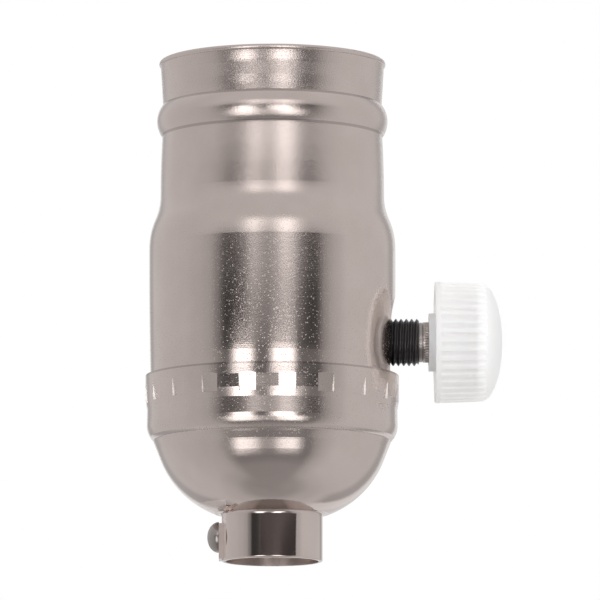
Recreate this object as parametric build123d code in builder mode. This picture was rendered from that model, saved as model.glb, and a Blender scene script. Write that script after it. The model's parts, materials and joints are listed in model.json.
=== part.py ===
from build123d import *
import os
from math import cos, radians, sin, sqrt, tan

# Lamp holder with a built-in rotary dimmer.
# Millimetres. +Z is the axis of the lamp, +X points to the knob, and the
# origin is the centre of the neck's lower face.

os.makedirs("parts", exist_ok=True)

# Materials in sheet form
sheet = 0.4
fibre = 0.4
sheet_gap = 0.1

# Lamp thread, E26, rolled into the screw shell
lamp_crest_radius = 12.2
lamp_thread_depth = 1.1
lamp_thread_pitch = 3.629
lamp_groove_width = 2.4
groove_floor_share = 0.42
groove_mouth_lip = 0.1
screw_sheet = 0.3
thread_start_rise = 2.6
thread_end_room = 4.9
screw_shell_drop = 4.0
collar_step = 0.5
collar_height = 2.4

# Shell, from the rim's waist outwards and from the cap's rim upwards
liner_room = 2.05
barrel_swell = 0.35
shoulder_step = 1.7
shell_rise = 48.0
shoulder_rise = 19.4
shoulder_height = 8.0
shoulder_turn = 0.55
barrel_taper = 0.25
shell_draw_in = 0.26
shell_draw_height = 18.0
bead_drop = 9.2
bead_foot = 2.3
bead_crest = 0.8
bead_head = 2.5
lip_radius = 0.4
lip_reach = 0.6
slot_half_width = 4.9
slot_top_rise = 7.2
shell_foot_drop = 1.9
groove_ramp = 0.5
groove_clearance = 0.2

# Fibre liners
liner_rim_drop = 1.8
liner_foot_rise = 0.5
liner_step_rise = 5.6
liner_slot_inset = 0.6
liner_hole_clearance = 0.6

# Cap, from its flat bottom upwards
cap_height = 20.8
dome_radius = 14.17
dome_centre_inset = 15.52
dome_centre_rise = 13.25
dome_lean = 21.5
skirt_turn_radius = 3.2
rim_band = 7.5
band_draw_in = 0.25
band_draw_height = 1.4
roll_height = 2.4
roll_inset = 0.22
tooth_count = 20
tooth_first_angle = 6.8
tooth_width = 2.6
tooth_height = 3.4
tooth_depth = 0.55
tooth_drop = 0.9
tooth_cheek = 0.3

# Neck, from the pipe's bore outwards
pipe_radius = 5.2
spigot_wall = 1.0
stake_lip = 1.2
stake_height = 0.9
mouth_step = 1.75
mouth_depth = 1.6
neck_wall = 0.65
neck_height = 7.2
neck_edge = 0.25
neck_cove = 0.6
boss_width = 4.4
boss_height = 5.6
boss_proud = 0.4

# Set screw
set_screw_rise = 3.65
set_screw_radius = 1.42
set_head_radius = 2.33
set_head_height = 1.75
set_tip_chamfer = 0.4
set_tip_gap = 0.1
driver_slot_width = 0.6
driver_slot_depth = 0.6

# Control, with its sizes along +X
running_gap = 0.05
fit_gap = 0.02
weld = 0.1
bushing_reach = 3.5
bushing_radius = 3.57
bushing_flange = 1.1
bushing_chamfer = 0.3
journal_radius = 2.3
washer_radius = 3.0
washer_thickness = 0.45
shaft_radius = 3.05
shaft_insertion = 6.5
shaft_chamfer = 0.4
shaft_split = 0.8
shaft_split_start = 1.5
shaft_end_gap = 0.2
nut_across_flats = 9.5
nut_thickness = 2.0

# Knob
knob_standoff = 2.4
knob_radius = 9.15
knob_front_radius = 8.92
knob_skirt_length = 6.9
knob_dome_height = 3.3
knob_rim = 0.8
knob_edge = 0.15
knob_wall = 1.25
knob_hub_radius = 4.39
knob_hub_proud = 0.9
knob_cavity_depth = 6.3
flute_count = 40
flute_radius = 0.5
flute_depth = 0.28

# Rotary control behind the bushing
pot_radius = 7.5
pot_floor_room = 2.3
pot_wall = 0.4
pot_length = 5.9
wafer_setback = 3.7
wafer_thickness = 1.0
wafer_bore_gap = 0.3
wiper_thickness = 0.4
wiper_arm_width = 2.0
wiper_dimple_radius = 0.6
wiper_inset = 1.4
rotor_clearance = 0.5
rotor_thickness = 1.6
rotor_hub_wall = 1.2
lug_thickness = 0.5
lug_width = 1.6
lug_spacing = 3.4
lug_inset = 3.4
switch_depth = 3.5
switch_width = 10.0
switch_height = 12.0
switch_corner = 1.0

# Dimmer case and what is in it
case_clearance = 0.25
case_wall = 1.2
case_front_inset = 3.7
case_side_inset = 4.4
cover_drop = 2.0
cover_thickness = 1.5
board_rise = 2.2
board_thickness = 1.2
board_clearance = 0.2
pot_headroom = 0.6
pillar_radius = 1.7
rear_pillar_angle = 31.0
screw_tip_cover = 1.0
case_screw_radius = 0.9
case_head_radius = 1.6
case_head_height = 1.0
triac_width = 9.6
triac_body = 8.5
triac_depth = 4.4
triac_tab = 4.5
triac_tab_thickness = 1.3
triac_tab_overhang = 1.6
triac_lead = 3.0
lead_pitch = 2.54
lead_width = 0.8
lead_thickness = 0.5
component_clearance = 0.2
capacitor_depth = 4.6
capacitor_height = 9.5
capacitor_corner = 0.6
choke_radius = 3.3
choke_height = 8.0
choke_flange = 1.0
choke_winding_inset = 0.5
choke_clearance = 0.6
resistor_radius = 1.1
resistor_length = 6.3
diac_radius = 0.85
diac_length = 4.0
axial_lead_radius = 0.3
axial_lead_reach = 1.5

# Socket body and contacts
body_floor = 3.5
body_rim_rise = 2.7
body_rim_wall = 2.7
strip = 0.8
terminal_width = 7.0
terminal_height = 9.0
terminal_screw_radius = 1.4
terminal_head_radius = 2.9
terminal_head_height = 1.6
terminal_rise = 3.5
tail_width = 3.0
tail_reach = 2.5
strap_width = 4.0
strap_foot_margin = 1.7
strap_setback = 2.5
contact_thickness = 0.5
contact_width = 4.5
contact_lift = 2.6
contact_tip_x = 3.4
contact_crown_x = 0.9
contact_heel = 2.6
contact_bend = 0.9
rivet_radius = 1.2
rivet_head_radius = 1.9
rivet_head_height = 0.7
rivet_head_edge = 0.4
rivet_sink = 0.3
contact_rivet_x = -4.0
shell_rivet_inset = 3.2
shell_floor_margin = 2.2

# Radii that follow from the pipe and from the lamp thread
spigot_radius = pipe_radius + spigot_wall
stake_radius = spigot_radius + stake_lip
mouth_radius = pipe_radius + mouth_step
neck_radius = mouth_radius + neck_wall
lamp_thread_radius = lamp_crest_radius + lamp_thread_depth
collar_radius = lamp_thread_radius + collar_step
shell_rivet_y = lamp_crest_radius - shell_rivet_inset
shell_floor_radius = shell_rivet_y - shell_floor_margin
liner_bore_radius = lamp_thread_radius + screw_sheet + liner_room
waist_radius = liner_bore_radius + fibre + sheet_gap + sheet
barrel_radius = waist_radius + barrel_swell
shell_radius = barrel_radius + shoulder_step
cap_radius = shell_radius + sheet_gap + sheet
roll_radius = cap_radius - roll_inset
shell_foot_radius = cap_radius - band_draw_in - sheet - sheet_gap
groove_radius = cap_radius - sheet - tooth_depth - sheet_gap
lower_liner_radius = groove_radius - sheet - sheet_gap
case_radius = lower_liner_radius - fibre - case_clearance
rotor_radius = pot_radius - pot_wall - rotor_clearance

# Heights that follow from the stack
cap_rim_z = neck_height + cap_height
total_height = cap_rim_z + shell_rise
skirt_z = cap_rim_z - rim_band
tooth_top_z = cap_rim_z - tooth_drop
tooth_catch_z = tooth_top_z - tooth_height
shell_foot_z = tooth_catch_z - shell_foot_drop
shoulder_z = cap_rim_z + shoulder_rise
shoulder_top_z = shoulder_z + shoulder_height
bead_z = total_height - bead_drop

# Stations along the control's axis
case_front_x = case_radius - case_front_inset
case_side_y = case_radius - case_side_inset
flange_x = case_front_x - case_wall
pot_front_x = flange_x - bushing_flange
pot_back_x = pot_front_x - pot_length
wafer_x = pot_front_x - wafer_setback
wiper_x = wafer_x + wiper_thickness
rotor_x = wiper_x + wiper_thickness
bushing_end_x = shell_radius + bushing_reach
knob_back_x = bushing_end_x + knob_standoff
switch_back_x = pot_back_x - switch_depth

# Heights of the inner stack
cover_z = skirt_z - cover_drop
case_z = cover_z + cover_thickness
board_z = case_z + board_rise
board_top_z = board_z + board_thickness
control_z = board_top_z + pot_floor_room + pot_radius
case_ceiling_z = control_z + pot_radius + pot_headroom
case_top_z = case_ceiling_z + case_wall
body_top_z = case_top_z + body_floor
body_rim_z = shoulder_z + body_rim_rise
screw_shell_top_z = total_height - screw_shell_drop
collar_z = screw_shell_top_z - collar_height
screw_tip_z = body_top_z - screw_tip_cover
terminal_z = board_top_z + terminal_rise
terminal_screw_z = terminal_z + 0.5 * terminal_height

# Stations of what stands on the board
load_strap_x = switch_back_x - strap_setback
choke_x = choke_radius + choke_clearance + case_wall - case_radius
component_x = choke_x + choke_radius + component_clearance + triac_depth - triac_tab_overhang
component_y = 0.5 * (case_side_y - case_wall)
strap_foot = case_side_y + strip - shell_rivet_y + strap_foot_margin

# Working planes of the control
control_axis = Axis((0, 0, control_z), (1, 0, 0))
control_front = Plane(origin=(0, 0, control_z), x_dir=(0, 1, 0), z_dir=(1, 0, 0))
control_side = Plane(origin=(0, 0, control_z), x_dir=(1, 0, 0), z_dir=(0, -1, 0))


# Section through one side of the shell, out to `inset` inside its outer face.
# It runs past the foot and the rim by `overrun`. It is drawn in a little towards
# the cap's rim, and the shoulder is two arcs that meet in line, `shoulder_turn` of
# the way up.
def shell_section(inset, overrun=0.0):
    foot_z = shell_foot_z - overrun
    top_z = total_height - lip_radius + overrun
    ramp_z = tooth_catch_z - groove_clearance - groove_ramp
    draw_z = cap_rim_z + shell_draw_height
    drawn_in = (shell_radius - shell_draw_in - inset, cap_rim_z + sheet_gap)
    crook = (
        shell_radius - shoulder_turn * shoulder_step - inset,
        shoulder_z + shoulder_turn * shoulder_height,
    )
    bead_root_radius = barrel_radius - barrel_taper - inset
    with BuildSketch(Plane.XZ) as section:
        with BuildLine():
            Polyline(
                (0, foot_z),
                (shell_foot_radius - inset, foot_z),
                (shell_foot_radius - inset, ramp_z),
                (groove_radius - inset, ramp_z + groove_ramp),
                (groove_radius - inset, tooth_top_z),
                drawn_in,
            )
            TangentArc((shell_radius - inset, draw_z), drawn_in, tangent=(0, -1))
            Line((shell_radius - inset, draw_z), (shell_radius - inset, shoulder_z))
            TangentArc((shell_radius - inset, shoulder_z), crook, tangent=(0, 1))
            TangentArc((barrel_radius - inset, shoulder_top_z), crook, tangent=(0, -1))
            TangentArc(
                (barrel_radius - inset, shoulder_top_z),
                (bead_root_radius, bead_z - bead_foot),
                tangent=(0, 1),
            )
            ThreePointArc(
                (bead_root_radius, bead_z - bead_foot),
                (bead_root_radius + bead_crest, bead_z),
                (waist_radius - inset, bead_z + bead_head),
            )
            Polyline(
                (waist_radius - inset, bead_z + bead_head),
                (waist_radius + barrel_swell - inset, total_height - 2 * lip_radius),
                (waist_radius + barrel_swell - inset, top_z),
                (0, top_z),
                (0, foot_z),
            )
        make_face()
    return section.sketch


# Section of the fibre tube inside the shell: it steps in at the shoulder only.
def liner_section(inset, overrun=0.0):
    foot_z = tooth_catch_z + liner_foot_rise - overrun
    top_z = total_height - liner_rim_drop + overrun
    upper_radius = liner_bore_radius + fibre
    with BuildSketch(Plane.XZ) as section:
        with BuildLine():
            Polyline(
                (0, foot_z),
                (lower_liner_radius - inset, foot_z),
                (lower_liner_radius - inset, body_rim_z),
                (upper_radius - inset, shoulder_z + liner_step_rise),
                (upper_radius - inset, top_z),
                (0, top_z),
                (0, foot_z),
            )
        make_face()
    return section.sketch


# Section of the cap down to `inset` inside its outer face, closed at the axis.
# The dome's arc runs on as a tangent cone up to the crease under the skirt's roll,
# and the roll runs up to a shallow waist under the rim's band.
def cap_section(inset, top_z):
    dome_centre = Vector(cap_radius - dome_centre_inset, neck_height + dome_centre_rise)
    skirt_centre = Vector(roll_radius - skirt_turn_radius, skirt_z)
    outward = Vector(cos(radians(dome_lean)), -sin(radians(dome_lean)))
    upward = Vector(sin(radians(dome_lean)), cos(radians(dome_lean)))
    floor_z = neck_height + inset
    roll_top_z = skirt_z + roll_height
    floor_run = sqrt((dome_radius - inset) ** 2 - (dome_centre.Y - floor_z) ** 2)
    dome_edge = dome_centre + outward * (dome_radius - inset)
    along = (skirt_centre - dome_edge).dot(upward)
    aside = (skirt_centre - dome_edge).cross(upward).length
    crease = dome_edge + upward * (along - sqrt((skirt_turn_radius - inset) ** 2 - aside ** 2))
    with BuildSketch(Plane.XZ) as section:
        with BuildLine():
            Line((0, floor_z), (dome_centre.X + floor_run, floor_z))
            RadiusArc((dome_centre.X + floor_run, floor_z), dome_edge, inset - dome_radius)
            Line(dome_edge, crease)
            RadiusArc(crease, (roll_radius - inset, skirt_z), inset - skirt_turn_radius)
            Polyline(
                (roll_radius - inset, skirt_z),
                (cap_radius - band_draw_in - inset, roll_top_z),
                (cap_radius - inset, roll_top_z + band_draw_height),
                (cap_radius - inset, top_z),
                (0, top_z),
                (0, floor_z),
            )
        make_face()
    return section.sketch


# Inverted U that frees the control's bushing, open at the shell's foot.
def control_slot(half_width, top_z):
    arch_z = top_z - half_width
    with BuildPart() as slot:
        with BuildSketch(Plane.YZ):
            with Locations((0, arch_z)):
                Circle(half_width)
                Rectangle(
                    2 * half_width,
                    arch_z - shell_foot_z + sheet,
                    align=(Align.CENTER, Align.MAX),
                )
        extrude(amount=2 * shell_radius)
    return slot.part


# Outer shell
with BuildPart() as outer_shell:
    revolve(shell_section(0), axis=Axis.Z)
    with BuildSketch(Plane.XZ):
        with Locations((waist_radius + lip_reach - lip_radius, total_height - lip_radius)):
            Circle(lip_radius)
    revolve(axis=Axis.Z)
    revolve(shell_section(sheet, overrun=sheet), axis=Axis.Z, mode=Mode.SUBTRACT)
    add(control_slot(slot_half_width, control_z + slot_top_rise), mode=Mode.SUBTRACT)
outer_shell.part.label = "outer_shell"
export_step(outer_shell.part, "parts/outer_shell.step")

# Fibre liner of the shell
with BuildPart() as shell_liner:
    revolve(liner_section(0), axis=Axis.Z)
    revolve(liner_section(fibre, overrun=fibre), axis=Axis.Z, mode=Mode.SUBTRACT)
    add(
        control_slot(
            slot_half_width - liner_slot_inset,
            control_z + slot_top_rise - liner_slot_inset,
        ),
        mode=Mode.SUBTRACT,
    )
shell_liner.part.label = "shell_liner"
export_step(shell_liner.part, "parts/shell_liner.step")

# Snap tooth of the cap: the bump on the inside, and the pocket pressed into the outside
cap_inner_radius = cap_radius - sheet
with BuildPart() as tooth_bump:
    with BuildSketch(Plane.XZ):
        with BuildLine():
            Polyline(
                (cap_inner_radius + weld, tooth_top_z),
                (cap_inner_radius + weld, tooth_catch_z),
                (cap_inner_radius - tooth_depth, tooth_catch_z),
                close=True,
            )
        make_face()
    extrude(amount=0.5 * tooth_width + tooth_cheek, both=True)

with BuildPart() as tooth_pocket:
    with BuildSketch(Plane.XZ):
        with BuildLine():
            Polyline(
                (cap_radius + weld, tooth_top_z),
                (cap_radius + weld, tooth_catch_z),
                (cap_radius - tooth_depth, tooth_catch_z),
                close=True,
            )
        make_face()
    extrude(amount=0.5 * tooth_width, both=True)

# Cap
with BuildPart() as cap:
    revolve(cap_section(0, cap_rim_z), axis=Axis.Z)
    revolve(cap_section(sheet, cap_rim_z + sheet), axis=Axis.Z, mode=Mode.SUBTRACT)
    with BuildSketch(Plane.XY.offset(neck_height)):
        Circle(spigot_radius)
    extrude(amount=2 * sheet, mode=Mode.SUBTRACT)
    with PolarLocations(0, tooth_count, start_angle=tooth_first_angle - 90):
        add(tooth_bump.part)
    with PolarLocations(0, tooth_count, start_angle=tooth_first_angle - 90):
        add(tooth_pocket.part, mode=Mode.SUBTRACT)
cap.part.label = "cap"
export_step(cap.part, "parts/cap.step")

# Fibre liner of the cap: a bowl under the case's cover, open round the staked spigot
liner_gap = sheet + sheet_gap
with BuildPart() as cap_liner:
    revolve(cap_section(liner_gap, cap_rim_z), axis=Axis.Z)
    revolve(cap_section(liner_gap + fibre, cap_rim_z + fibre), axis=Axis.Z, mode=Mode.SUBTRACT)
    with BuildSketch(Plane.XY.offset(neck_height)):
        Circle(stake_radius + liner_hole_clearance)
    extrude(amount=liner_gap + 2 * fibre, mode=Mode.SUBTRACT)
    with BuildSketch(Plane.XY.offset(cover_z)):
        Circle(2 * cap_radius)
    extrude(amount=cap_rim_z, mode=Mode.SUBTRACT)
cap_liner.part.label = "cap_liner"
export_step(cap_liner.part, "parts/cap_liner.step")

# Neck: pipe bushing with its spigot staked over inside the cap, and a cove where it
# meets the cap. The set screw's boss is a flat pad that dies into the neck's round.
stake_z = neck_height + sheet
boss_x = -neck_radius - boss_proud
boss_depth = weld - boss_x - sqrt(neck_radius ** 2 - (0.5 * boss_width) ** 2)
with BuildPart() as cap_bushing:
    with BuildSketch(Plane.XZ):
        with BuildLine():
            Polyline(
                (mouth_radius, 0),
                (neck_radius, 0),
                (neck_radius, neck_height - neck_cove),
            )
            RadiusArc(
                (neck_radius, neck_height - neck_cove),
                (neck_radius + neck_cove, neck_height),
                neck_cove,
            )
            Polyline(
                (neck_radius + neck_cove, neck_height),
                (spigot_radius - fit_gap, neck_height),
                (spigot_radius - fit_gap, stake_z),
                (stake_radius, stake_z),
                (stake_radius, stake_z + 0.4 * stake_height),
                (pipe_radius + 0.5 * spigot_wall, stake_z + stake_height),
                (pipe_radius, stake_z + stake_height),
                (pipe_radius, mouth_depth),
                (mouth_radius, mouth_depth),
                (mouth_radius, 0),
            )
        make_face()
    revolve(axis=Axis.Z)
    rims = cap_bushing.edges().filter_by(GeomType.CIRCLE)
    rims = rims.filter_by(lambda edge: abs(edge.radius - neck_radius) < 0.01)
    fillet(rims.sort_by(Axis.Z)[0], radius=neck_edge)
    with BuildSketch(Plane.XY.offset(neck_edge)):
        with Locations((boss_x, 0)):
            Rectangle(boss_depth, boss_width, align=(Align.MIN, Align.CENTER))
    extrude(amount=boss_height - neck_edge)
    with BuildSketch(Plane.YZ.offset(boss_x)):
        with Locations((0, set_screw_rise)):
            Circle(set_screw_radius + running_gap)
    extrude(amount=neck_radius, mode=Mode.SUBTRACT)
cap_bushing.part.label = "cap_bushing"
export_step(cap_bushing.part, "parts/cap_bushing.step")

# Set screw: round head, driver slot, tip just short of the pipe bore
set_tip_x = -pipe_radius - set_tip_gap
set_screw_side = Plane(origin=(0, 0, set_screw_rise), x_dir=(1, 0, 0), z_dir=(0, -1, 0))
with BuildPart() as set_screw:
    with BuildSketch(set_screw_side):
        with BuildLine():
            Polyline(
                (boss_x - set_head_height, 0),
                (set_tip_x, 0),
                (set_tip_x, set_screw_radius - set_tip_chamfer),
                (set_tip_x - set_tip_chamfer, set_screw_radius),
                (boss_x, set_screw_radius),
                (boss_x, set_head_radius),
            )
            EllipticalCenterArc(
                (boss_x, 0),
                set_head_height,
                set_head_radius,
                start_angle=90,
                arc_size=90,
            )
        make_face()
    revolve(axis=Axis((0, 0, set_screw_rise), (1, 0, 0)))
    with BuildSketch(Plane.YZ.offset(boss_x - set_head_height)):
        with Locations((0, set_screw_rise)):
            Rectangle(driver_slot_width, 3 * set_head_radius)
    extrude(amount=driver_slot_depth, mode=Mode.SUBTRACT)
set_screw.part.label = "set_screw"
export_step(set_screw.part, "parts/set_screw.step")

# Control bushing: flange inside the case wall, threaded barrel out through it
with BuildPart() as control_bushing:
    with BuildSketch(control_front.offset(pot_front_x)):
        Circle(pot_radius)
    extrude(amount=bushing_flange)
    with BuildSketch(control_front.offset(flange_x)):
        Circle(bushing_radius)
    extrude(amount=bushing_end_x - flange_x)
    chamfer(control_bushing.edges().sort_by(Axis.X)[-1], length=bushing_chamfer)
    with BuildSketch(control_front.offset(pot_front_x)):
        Circle(journal_radius + running_gap)
    extrude(amount=bushing_end_x - pot_front_x, mode=Mode.SUBTRACT)
control_bushing.part.label = "control_bushing"
export_step(control_bushing.part, "parts/control_bushing.step")

# Nut that draws the flange against the case wall
with BuildPart() as bushing_nut:
    with BuildSketch(control_front.offset(case_front_x)):
        RegularPolygon(nut_across_flats / 2, 6, major_radius=False)
        Circle(bushing_radius + fit_gap, mode=Mode.SUBTRACT)
    extrude(amount=nut_thickness)
bushing_nut.part.label = "bushing_nut"
export_step(bushing_nut.part, "parts/bushing_nut.step")

# Shaft: journal in the bushing, larger split head for the knob
washer_x = bushing_end_x + running_gap
shoulder_x = washer_x + washer_thickness + running_gap
shaft_end_x = knob_back_x + shaft_insertion
with BuildPart() as control_shaft:
    with BuildSketch(control_front.offset(wafer_x + running_gap)):
        Circle(journal_radius)
    extrude(amount=shoulder_x - wafer_x - running_gap)
    with BuildSketch(control_front.offset(shoulder_x)):
        Circle(shaft_radius)
    extrude(amount=shaft_end_x - shoulder_x)
    chamfer(control_shaft.edges().sort_by(Axis.X)[-1], length=shaft_chamfer)
    with BuildSketch(control_front.offset(knob_back_x + shaft_split_start)):
        Rectangle(shaft_split, 3 * shaft_radius)
    extrude(amount=shaft_insertion, mode=Mode.SUBTRACT)
control_shaft.part.label = "control_shaft"
export_step(control_shaft.part, "parts/control_shaft.step")

with BuildPart() as thrust_washer:
    with BuildSketch(control_front.offset(washer_x)):
        Circle(washer_radius)
        Circle(journal_radius + fit_gap, mode=Mode.SUBTRACT)
    extrude(amount=washer_thickness)
thrust_washer.part.label = "thrust_washer"
export_step(thrust_washer.part, "parts/thrust_washer.step")

# Knob: hollow skirt, hub for the shaft, domed front, flutes round the side
dome_x = knob_back_x + knob_skirt_length
flute_start_x = knob_back_x + knob_rim
flute_slope = (knob_radius - knob_front_radius) / (knob_skirt_length - knob_rim)
flute_centre = knob_radius - flute_depth + flute_radius
flute_plane = Plane(
    origin=(flute_start_x, 0, control_z + flute_centre),
    x_dir=(0, 1, 0),
    z_dir=(1, 0, -flute_slope),
)
with BuildPart() as flute:
    with BuildSketch(flute_plane):
        Circle(flute_radius)
    extrude(amount=knob_skirt_length + knob_dome_height)

with BuildPart() as knob:
    with BuildSketch(control_side):
        with BuildLine():
            Polyline(
                (dome_x + knob_dome_height, 0),
                (knob_back_x, 0),
                (knob_back_x, knob_radius - knob_edge),
                (knob_back_x + knob_edge, knob_radius),
                (flute_start_x, knob_radius),
                (dome_x, knob_front_radius),
            )
            EllipticalCenterArc(
                (dome_x, 0),
                knob_dome_height,
                knob_front_radius,
                start_angle=0,
                arc_size=90,
            )
        make_face()
    revolve(axis=control_axis)
    with BuildSketch(control_front.offset(knob_back_x)):
        Circle(knob_radius - knob_wall)
        Circle(knob_hub_radius, mode=Mode.SUBTRACT)
    extrude(amount=knob_cavity_depth, mode=Mode.SUBTRACT)
    with BuildSketch(control_front.offset(knob_back_x - knob_hub_proud)):
        Circle(knob_hub_radius)
    extrude(amount=knob_hub_proud)
    with BuildSketch(control_front.offset(knob_back_x - knob_hub_proud)):
        Circle(shaft_radius + fit_gap)
    extrude(amount=knob_hub_proud + shaft_insertion + shaft_end_gap, mode=Mode.SUBTRACT)
    for turn in range(flute_count):
        add(
            flute.part.rotate(control_axis, turn * 360 / flute_count),
            mode=Mode.SUBTRACT,
        )
knob.part.label = "knob"
export_step(knob.part, "parts/knob.step")

# Rotary control: can closed at its back, with a window below for the lugs
lug_x = wafer_x - wafer_thickness - lug_thickness
with BuildPart() as pot_can:
    with BuildSketch(control_front.offset(pot_back_x)):
        Circle(pot_radius)
    extrude(amount=pot_length)
    with BuildSketch(control_front.offset(pot_back_x + pot_wall)):
        Circle(pot_radius - pot_wall)
    extrude(amount=pot_length, mode=Mode.SUBTRACT)
    with BuildSketch(Plane.XY.offset(control_z - pot_radius)):
        with Locations((lug_x + 0.5 * lug_thickness, 0)):
            Rectangle(2 * lug_thickness, 2 * lug_spacing + 2 * lug_width)
    extrude(amount=0.5 * pot_radius, mode=Mode.SUBTRACT)
pot_can.part.label = "pot_can"
export_step(pot_can.part, "parts/pot_can.step")

with BuildPart() as pot_wafer:
    with BuildSketch(control_front.offset(wafer_x - wafer_thickness)):
        Circle(pot_radius - pot_wall - running_gap)
        Circle(journal_radius + wafer_bore_gap, mode=Mode.SUBTRACT)
    extrude(amount=wafer_thickness)
pot_wafer.part.label = "pot_wafer"
export_step(pot_wafer.part, "parts/pot_wafer.step")

# Wiper: ring staked on the rotor, arm out to the dimple that rides on the wafer
wiper_reach = rotor_radius - wiper_inset
with BuildPart() as pot_wiper:
    with BuildSketch(control_front.offset(wiper_x)):
        Circle(journal_radius + rotor_hub_wall)
        with Locations((0, -0.5 * wiper_reach)):
            Rectangle(wiper_arm_width, wiper_reach)
        with Locations((0, -wiper_reach)):
            Circle(0.5 * wiper_arm_width)
        Circle(journal_radius + fit_gap, mode=Mode.SUBTRACT)
    extrude(amount=wiper_thickness)
    with BuildSketch(control_front.offset(wafer_x + running_gap)):
        with Locations((0, -wiper_reach)):
            Circle(wiper_dimple_radius)
    extrude(amount=wiper_thickness)
pot_wiper.part.label = "pot_wiper"
export_step(pot_wiper.part, "parts/pot_wiper.step")

with BuildPart() as pot_rotor:
    with BuildSketch(control_front.offset(rotor_x)):
        Circle(rotor_radius)
        Circle(journal_radius + fit_gap, mode=Mode.SUBTRACT)
    extrude(amount=rotor_thickness)
    with BuildSketch(control_front.offset(rotor_x + rotor_thickness)):
        Circle(journal_radius + rotor_hub_wall)
        Circle(journal_radius + fit_gap, mode=Mode.SUBTRACT)
    extrude(amount=pot_front_x - running_gap - rotor_x - rotor_thickness)
pot_rotor.part.label = "pot_rotor"
export_step(pot_rotor.part, "parts/pot_rotor.step")

# Lugs from the back of the wafer down to the circuit board
with BuildPart() as pot_lugs:
    with BuildSketch(Plane.YZ.offset(lug_x)):
        with GridLocations(lug_spacing, 0, 3, 1):
            with Locations((0, board_top_z)):
                Rectangle(
                    lug_width,
                    control_z - pot_radius + lug_inset - board_top_z,
                    align=(Align.CENTER, Align.MIN),
                )
    extrude(amount=lug_thickness)
pot_lugs.part.label = "pot_lugs"
export_step(pot_lugs.part, "parts/pot_lugs.step")

with BuildPart() as switch_block:
    with BuildSketch(control_front.offset(switch_back_x)):
        RectangleRounded(switch_width, switch_height, switch_corner)
    extrude(amount=switch_depth)
switch_block.part.label = "switch_block"
export_step(switch_block.part, "parts/switch_block.step")


# Outline of the dimmer case at height z: round behind, flat in front and at both sides.
def case_outline(inset, z):
    with BuildSketch(Plane.XY.offset(z)) as outline:
        Circle(case_radius - inset)
        with Locations((case_front_x - inset, 0)):
            Rectangle(
                2 * case_radius,
                2 * (case_side_y - inset),
                align=(Align.MAX, Align.CENTER),
                mode=Mode.INTERSECT,
            )
    return outline.sketch


# The four pillars are welded to the case's wall, in its front corners and behind.
pillar_inset = case_wall + pillar_radius - weld
pillar_x = case_front_x - pillar_inset
pillar_y = case_side_y - pillar_inset
rear_pillar_x = -(case_radius - pillar_inset) * cos(radians(rear_pillar_angle))
rear_pillar_y = (case_radius - pillar_inset) * sin(radians(rear_pillar_angle))
pillar_spots = [
    (pillar_x, pillar_y),
    (pillar_x, -pillar_y),
    (rear_pillar_x, rear_pillar_y),
    (rear_pillar_x, -rear_pillar_y),
]

# Dimmer case: open below
with BuildPart() as dimmer_case:
    extrude(case_outline(0, case_z), amount=case_top_z - case_z)
    extrude(
        case_outline(case_wall, case_z),
        amount=case_ceiling_z - case_z,
        mode=Mode.SUBTRACT,
    )
    with BuildSketch(Plane.XY.offset(case_z)):
        with Locations(*pillar_spots):
            Circle(pillar_radius)
    extrude(amount=case_top_z - case_z)
    with BuildSketch(Plane.XY.offset(case_z)):
        with Locations(*pillar_spots):
            Circle(case_screw_radius + fit_gap)
        with Locations((contact_rivet_x, 0)):
            Circle(rivet_radius + fit_gap)
    extrude(amount=case_top_z - case_z, mode=Mode.SUBTRACT)
    with BuildSketch(control_front.offset(flange_x)):
        Circle(bushing_radius + running_gap)
    extrude(amount=case_wall, mode=Mode.SUBTRACT)
    with BuildSketch(Plane.XZ.offset(-case_radius)):
        with Locations((0, terminal_screw_z)):
            Circle(terminal_screw_radius + fit_gap)
    extrude(amount=2 * case_radius, mode=Mode.SUBTRACT)
    with BuildSketch(Plane.XZ.offset(-case_side_y)):
        with Locations((0, board_top_z)):
            Rectangle(
                tail_width + 2 * sheet_gap,
                strip + sheet_gap,
                align=(Align.CENTER, Align.MIN),
            )
    extrude(amount=case_wall, mode=Mode.SUBTRACT)
dimmer_case.part.label = "dimmer_case"
export_step(dimmer_case.part, "parts/dimmer_case.step")

with BuildPart() as case_cover:
    extrude(case_outline(0, cover_z), amount=cover_thickness)
    with BuildSketch(Plane.XY.offset(cover_z)):
        with Locations(*pillar_spots):
            Circle(case_screw_radius + fit_gap)
    extrude(amount=cover_thickness, mode=Mode.SUBTRACT)
    with BuildSketch(Plane.XY.offset(cover_z)):
        with Locations(*pillar_spots):
            Circle(case_head_radius + sheet_gap)
    extrude(amount=case_head_height, mode=Mode.SUBTRACT)
case_cover.part.label = "case_cover"
export_step(case_cover.part, "parts/case_cover.step")

# Four case screws, up through cover and case into the socket body
with BuildPart() as case_screws:
    with BuildSketch(Plane.XY.offset(cover_z)):
        with Locations(*pillar_spots):
            Circle(case_head_radius)
            Rectangle(driver_slot_width, 3 * case_head_radius, mode=Mode.SUBTRACT)
    extrude(amount=driver_slot_depth)
    with BuildSketch(Plane.XY.offset(cover_z + driver_slot_depth)):
        with Locations(*pillar_spots):
            Circle(case_head_radius)
    extrude(amount=case_head_height - driver_slot_depth)
    with BuildSketch(Plane.XY.offset(cover_z + case_head_height)):
        with Locations(*pillar_spots):
            Circle(case_screw_radius)
    extrude(amount=screw_tip_z - cover_z - case_head_height)
case_screws.part.label = "case_screws"
export_step(case_screws.part, "parts/case_screws.step")

# Circuit board, notched round the pillars
with BuildPart() as circuit_board:
    extrude(case_outline(case_wall + board_clearance, board_z), amount=board_thickness)
    with BuildSketch(Plane.XY.offset(board_z)):
        with Locations(*pillar_spots):
            Circle(pillar_radius + board_clearance)
    extrude(amount=board_thickness, mode=Mode.SUBTRACT)
circuit_board.part.label = "circuit_board"
export_step(circuit_board.part, "parts/circuit_board.step")

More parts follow.
